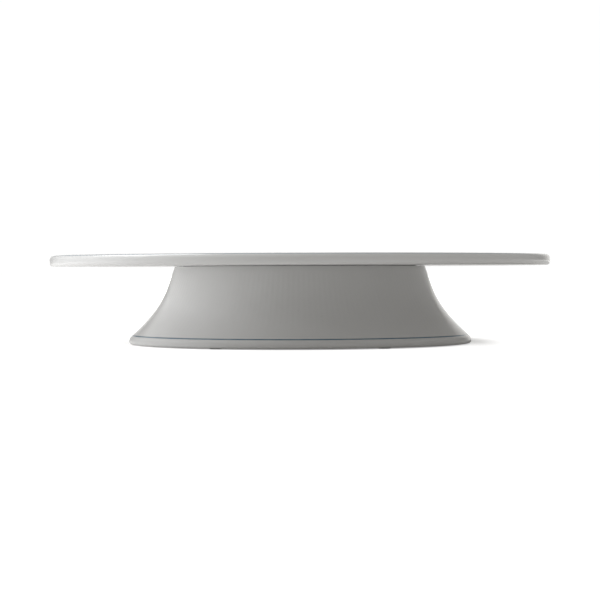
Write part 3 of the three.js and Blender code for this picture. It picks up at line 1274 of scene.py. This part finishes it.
@dataclass
class UpperBearing(SubAssembly):
    """The upper race, carrier, bush, screws and bonding pads. Sizes are in millimetres."""

    body: ClassVar[Body] = Body.TURNTABLE
    pressing: RacePressing = field(default_factory=RacePressing)
    bore: float = 8.05
    screw_hole: float = 1.8
    channel_half: float = 5.0
    channel_depth: float = 1.25
    bush_radius: float = 7.75
    bush_flange: float = 1.5
    bush_bore: float = 5.05
    screw_head: float = 1.5
    screw_shank: float = 1.5
    screw_socket: float = 1.25
    socket_share: float = 0.6
    washer_bore: float = 5.25
    bond_bulge: float = 0.9

    def with_screw_holes(self, body: Object, node: str) -> Object:
        """Drill the screws' holes right through a piece.

        Args:
            body: The piece.
            node: The piece's node.

        Returns:
            The piece.
        """
        low, high = bottom_of(node) - BEYOND, top_of(node) + BEYOND
        screws = nodes_named("race_screw_")
        return drilled(body, [plug(self.screw_hole, low, high, middle_of(screw), 32) for screw in screws])

    def build_race(self) -> None:
        """Make the upper race: the pressing turned over, with its screw holes."""
        low, high = bottom_of("upper_race"), top_of("upper_race")
        outline = self.pressing.outline(self.bore, radius_of("upper_race"))
        turned_over = np.stack([outline[:, 0], (high - low) - outline[:, 1]], 1)[::-1]
        race = turned_object("upper_race", turned_over, 160, height=low)
        self.fit(self.with_screw_holes(race, "upper_race"), "upper_race", self.finishes.zinc)

    def build_carrier(self) -> None:
        """Make the carrier disc with its channel and screw holes."""
        low, high, outer = extent_of("carrier_disc")
        near = self.pressing.pitch_radius - self.channel_half
        far = self.pressing.pitch_radius + self.channel_half
        channel = low + self.channel_depth
        outline = softened([(self.bore, low, 0.2), (near, low, 0.3), (near, channel, 0.3),
                            (far, channel, 0.3), (far, low, 0.3), (outer, low, 0.5),
                            (outer, high, 0.5), (self.bore, high, 0.2)])
        disc = turned_object("carrier_disc", outline, 160)
        self.fit(self.with_screw_holes(disc, "carrier_disc"), "carrier_disc", self.finishes.aluminium)

    def build_bush(self) -> None:
        """Make the flanged bush."""
        low, high, flange = extent_of("pivot_bush")
        outline = softened([(self.bush_bore, low, 0.3), (flange, low, 0.3),
                            (flange, low + self.bush_flange, 0.2),
                            (self.bush_radius, low + self.bush_flange), (self.bush_radius, high, 0.3),
                            (self.bush_bore, high, 0.3)])
        self.fit(turned_object("pivot_bush", outline, 96), "pivot_bush", self.finishes.acetal)

    def socketed(self, angle: Points, radius: Points, level: Points) -> Points:
        """The radius with the socket's wall drawn out to a hexagon.

        Args:
            angle: Angles round the screw's axis.
            radius: Radii; those up to the socket's are the socket.
            level: Heights above the screw's bottom.

        Returns:
            The radii.
        """
        in_socket = (radius <= self.screw_socket + 0.05) & (level < self.screw_head)
        return np.where(in_socket, radius * hexagon(angle, 1.0), radius)

    def build_screw(self, node: str) -> None:
        """Make one pan-head screw with a hexagonal socket in its head.

        Args:
            node: The screw's node.
        """
        low, head = bottom_of(node), radius_of(node)
        high = top_of(node) - low
        floor = self.screw_head * self.socket_share
        outline = softened([(0.0, floor), (self.screw_socket, floor), (self.screw_socket, 0.0, 0.08),
                            (head, 0.0, 0.6), (head, self.screw_head, 0.1),
                            (self.screw_shank, self.screw_head), (self.screw_shank, high, 0.3),
                            (0.0, high)], closed=False)
        screw = turned_object(node, outline, 48, height=low, centre=middle_of(node), change=self.socketed)
        self.fit(screw, node, self.finishes.zinc)

    def build_bond(self, node: str) -> None:
        """Make one pad of silicone with bulged sides, as it sets between two faces.

        Args:
            node: The pad's node.
        """
        low, high, radius = extent_of(node)
        squeeze = np.linspace(-1.0, 1.0, 9)
        levels = (low + high) / 2 + squeeze * (high - low) / 2
        side = np.stack([radius - self.bond_bulge * squeeze**2, levels], 1)
        outline = np.concatenate([[(0.0, low)], side, [(0.0, high)]])
        pad = turned_object(node, outline, 64, centre=middle_of(node))
        self.fit(pad, node, self.finishes.clear_silicone)

    def build(self) -> None:
        """Make every piece between the balls and the plate."""
        self.build_race()
        self.build_carrier()
        self.build_bush()
        self.washer("retaining_washer", self.finishes.acetal, self.washer_bore, 0.1)
        for node in nodes_named("bonding_pad_"):
            self.build_bond(node)
        for node in nodes_named("race_screw_"):
            self.build_screw(node)


@dataclass
class TurntablePlate(SubAssembly):
    """The porcelain plate. Sizes are in millimetres."""

    body: ClassVar[Body] = Body.TURNTABLE
    thickness: float = 6.5
    top_round: float = 3.0
    bottom_round: float = 2.25
    foot_ring: Pair = (66.0, 69.5)
    around: int = 512

    def outline(self) -> Points:
        """The section from the middle of the underside, round the rim, to the middle of the top.

        Returns:
            The points.
        """
        ring_face = bottom_of("turntable_plate")
        top, rim = top_of("turntable_plate"), radius_of("turntable_plate")
        under = top - self.thickness
        inner, outer = self.foot_ring
        below = softened([(0.0, under), (inner - 0.2, under, 1.0), (inner + 0.5, ring_face, 0.5),
                          (outer - 0.5, ring_face, 0.5), (outer + 0.2, under, 1.0),
                          (rim - self.bottom_round, under)], closed=False)
        low_turn = quadratic(((rim - self.bottom_round, under), (rim, under),
                              (rim, under + self.bottom_round)), 10)
        high_turn = quadratic(((rim, top - self.top_round), (rim, top), (rim - self.top_round, top)), 12)
        face = np.linspace(rim - self.top_round, 0.0, 24)[1:]
        above = np.stack([face, np.full_like(face, top)], 1)
        return np.concatenate([below[:-1], low_turn, high_turn, above])

    def build(self) -> None:
        """Make the plate."""
        plate = turned_object("turntable_plate", self.outline(), self.around)
        self.fit(plate, "turntable_plate", self.finishes.plate)


# ---- the studio


@dataclass(frozen=True)
class Floor:
    """A dull floor that reads white, with painted shadows near the foot. Places are in metres, with the axis
    at 0 and +Y away.
    """

    reach: float = 60.0
    tone: Colour = rgb(0.78, 0.775, 0.765)
    glow: float = 0.85
    far_glow: float = 0.5
    far_glow_span: Pair = (1.0, 4.0)
    contact_ahead: float = 0.008
    contact_edge: float = 0.1030
    contact_width: float = 0.012
    contact_light: float = 0.4
    shadow_place: Pair = (0.103, 0.045)
    shadow_span: Pair = (0.026, 0.002)
    shadow_squash: float = 0.22
    shadow_depth: float = 0.45
    left_bounce: float = 0.42
    left_span: Pair = (-0.02, -0.30)
    mirror_loss: float = 0.85
    right_bounce: float = 0.26
    right_span: Pair = (0.10, 0.40)
    far_bounce: float = 1.0
    far_span: Pair = (0.8, 3.0)

    def build(self, wall_left: Pair) -> None:
        """Lay the floor: one glow towards the camera, another that lights and shows in the object.

        Args:
            wall_left: Where the far floor's glow starts and is full, as across over away.
        """
        corners = self.reach * np.array([(-1, -1, 0), (1, -1, 0), (1, 1, 0), (-1, 1, 0)])
        mesh = mesh_of("studio_floor", corners, np.arange(4), np.array([4]))
        floor = linked("studio_floor", mesh)
        s = Shader(bpy.data.materials.new("studio_floor"))
        across, away, _ = s.parts_of(s.place())

        # Painted contact shadow: the camera's glow falls to contact_light just in front of the foot.
        nearer = away + self.contact_ahead
        from_foot = (across * across + nearer * nearer).maths("SQRT")
        lit = from_foot.step(self.contact_edge - self.contact_width, self.contact_edge)
        clear = lit * (1.0 - self.contact_light) + self.contact_light
        # Painted shadow: a soft dark patch on the floor right of the foot, taken off the camera's glow.
        aside = (across - self.shadow_place[0]).maths("MAXIMUM", 0.0)
        along = (away - self.shadow_place[1]) * self.shadow_squash
        shadow = (aside * aside + along * along).maths("SQRT").step(*self.shadow_span) * self.shadow_depth
        shown = clear * (away.step(*self.far_glow_span) * self.far_glow + self.glow - shadow)

        mirrored = s.node("ShaderNodeLightPath", output="Is Glossy Ray") * self.mirror_loss
        left = across.step(*self.left_span) * self.left_bounce * (1.0 - mirrored)
        far = away.step(*self.far_span) * (across / away).step(*wall_left) * self.far_bounce
        right = across.step(*self.right_span) * self.right_bounce
        unseen = left.maths("MAXIMUM", right).maths("MAXIMUM", far)

        seen = s.node("ShaderNodeLightPath", output="Is Camera Ray")
        strength = seen * shown + (1.0 - seen) * unseen
        matt = s.node("ShaderNodeBsdfDiffuse", sockets={"Color": self.tone})
        glow = s.node("ShaderNodeEmission", sockets={"Color": rgb(1.0, 1.0, 1.0), "Strength": strength})
        both = s.node("ShaderNodeAddShader", sockets={0: matt, 1: glow})
        s.node("ShaderNodeOutputMaterial", sockets={"Surface": both})
        mesh.materials.append(s.owner)


@dataclass(frozen=True)
class Room:
    """Even light from all round, a bright wall low behind the object and a white backdrop."""

    low: float = 0.19
    high: float = 0.50
    high_from: float = 0.7
    tint: Colour = rgb(1.0, 0.985, 0.955)
    wall: float = 1.0
    wall_edges: Pair = (38.0, 8.0)
    wall_left: Pair = (-0.32, -0.14)
    backdrop: float = 1.02

    def build(self) -> None:
        """Make the world."""
        world = bpy.data.worlds.new("studio")
        bpy.context.scene.world = world
        s = Shader(world)
        across, away, up = s.parts_of(s.node("ShaderNodeTexCoord", output="Generated"))
        room = up.step(0.0, self.high_from) * (self.high - self.low) + self.low
        edges = [math.cos(math.radians(edge)) for edge in self.wall_edges]
        wall = away.step(*edges) * across.step(*self.wall_left)
        seen = s.node("ShaderNodeLightPath", output="Is Camera Ray")
        strength = (wall * (self.wall - room) + room) * (1.0 - seen) + seen * self.backdrop
        tint = s.blend(seen, self.tint, rgb(1.0, 1.0, 1.0))
        light = s.node("ShaderNodeBackground", sockets={"Color": tint, "Strength": strength})
        s.node("ShaderNodeOutputWorld", sockets={"Surface": light})


@dataclass(frozen=True)
class Softbox:
    """One soft area light. Places and sizes are in metres, its power in watts."""

    name: str
    place: Triple
    size: Pair
    power: float
    reflected: bool = True
    aim: Triple = (0.0, 0.0, 0.04)
    colour: Triple = (0.97, 0.985, 1.0)

    def build(self) -> None:
        """Hang the light."""
        light = bpy.data.lights.new(self.name, "AREA")
        light.shape = "RECTANGLE"
        light.size, light.size_y = self.size
        light.energy = self.power
        light.color = self.colour
        lamp = linked(self.name, light)
        lamp.visible_glossy = self.reflected
        lamp.location = self.place
        lamp.rotation_euler = (Vector(self.aim) - Vector(self.place)).to_track_quat("-Z", "Y").to_euler()


@dataclass(frozen=True)
class Camera:
    """The camera, in front of the object and just below the plate. It stands off and up in metres."""

    distance: float = 1.2
    height: float = 0.0421
    lens: float = 119.16
    sensor: float = 36.0
    degrees_down: float = 0.753
    roll: float = 0.0036

    def build(self) -> None:
        """Stand the camera."""
        data = bpy.data.cameras.new("camera")
        data.sensor_width = self.sensor
        data.lens = self.lens
        camera = linked("camera", data)
        place = Matrix.Translation((0.0, -self.distance, self.height))
        tilt = Matrix.Rotation(math.radians(90) - math.radians(self.degrees_down), 4, "X")
        camera.matrix_world = place @ tilt @ Matrix.Rotation(-self.roll, 4, "Z")
        bpy.context.scene.camera = camera


@dataclass
class Studio:
    """A pale floor and backdrop, soft light from the left, and the camera."""

    floor: Floor = field(default_factory=Floor)
    room: Room = field(default_factory=Room)
    high: Softbox = Softbox("high_softbox", (-0.5, 0.05, 0.6), (0.5, 0.5), 4.0)
    low: Softbox = Softbox("low_softbox", (-1.3, 0.15, 0.2), (0.8, 0.4), 5.3, reflected=False)
    camera: Camera = field(default_factory=Camera)

    def build(self) -> None:
        """Set up the floor, the light and the camera."""
        self.floor.build(self.room.wall_left)
        self.room.build()
        self.high.build()
        self.low.build()
        self.camera.build()
        bpy.context.scene.view_settings.view_transform = "Standard"


def main() -> None:
    """Build the studio, then every sub-assembly from the foot up."""
    logging.basicConfig(level=logging.INFO, format="%(name)s: %(message)s")
    Studio().build()
    finishes = Finishes.made()
    for kind in (Pedestal, PivotClamp, LowerBearing, BallCage, UpperBearing, TurntablePlate):
        kind(finishes).build()


if __name__ == "__main__":
    main()
